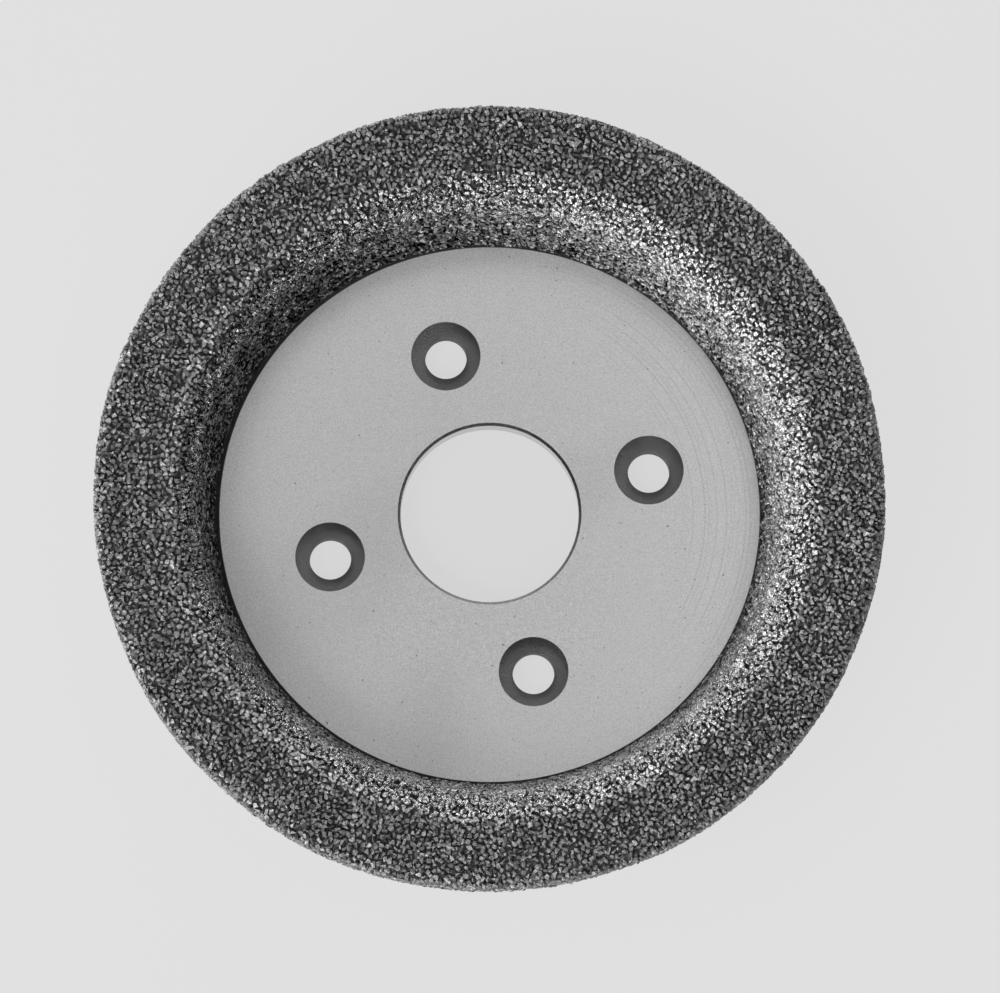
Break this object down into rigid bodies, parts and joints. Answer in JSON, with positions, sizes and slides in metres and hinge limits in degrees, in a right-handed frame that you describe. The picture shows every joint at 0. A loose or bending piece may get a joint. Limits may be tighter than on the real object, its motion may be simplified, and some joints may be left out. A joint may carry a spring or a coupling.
{
  "type": "angle grinder carving disc",
  "caption": "Dished steel carving disc for an angle grinder: carbide grit on its flared rim, round bore and countersunk screw holes in its flat hub.",
  "frame": {"origin": "on the disc's axis, at the back face of the hub, which is what the disc stands on", "axes": "+Z along the axis out of the open side of the dish; one countersunk hole lies 15.4 degrees from +X towards +Y"},
  "size_m": [0.0974, 0.0974, 0.0209],
  "materials": {
    "hub_steel": "faced steel, satin, faint turning rings",
    "rim_steel": "heat-darkened steel, matt",
    "braze": "nickel braze, dull",
    "bond": "dark braze metal, rough",
    "grit": "crushed tungsten carbide grains, glinting facets"
  },
  "bodies": {
    "root": {"hub_plate": "hub_steel", "rim_dish": "rim_steel", "hub_braze": "braze", "bond_coat": "bond", "wall_grit": "grit", "face_grit": "grit", "edge_grit": "grit"}
  },
  "joints": []
}
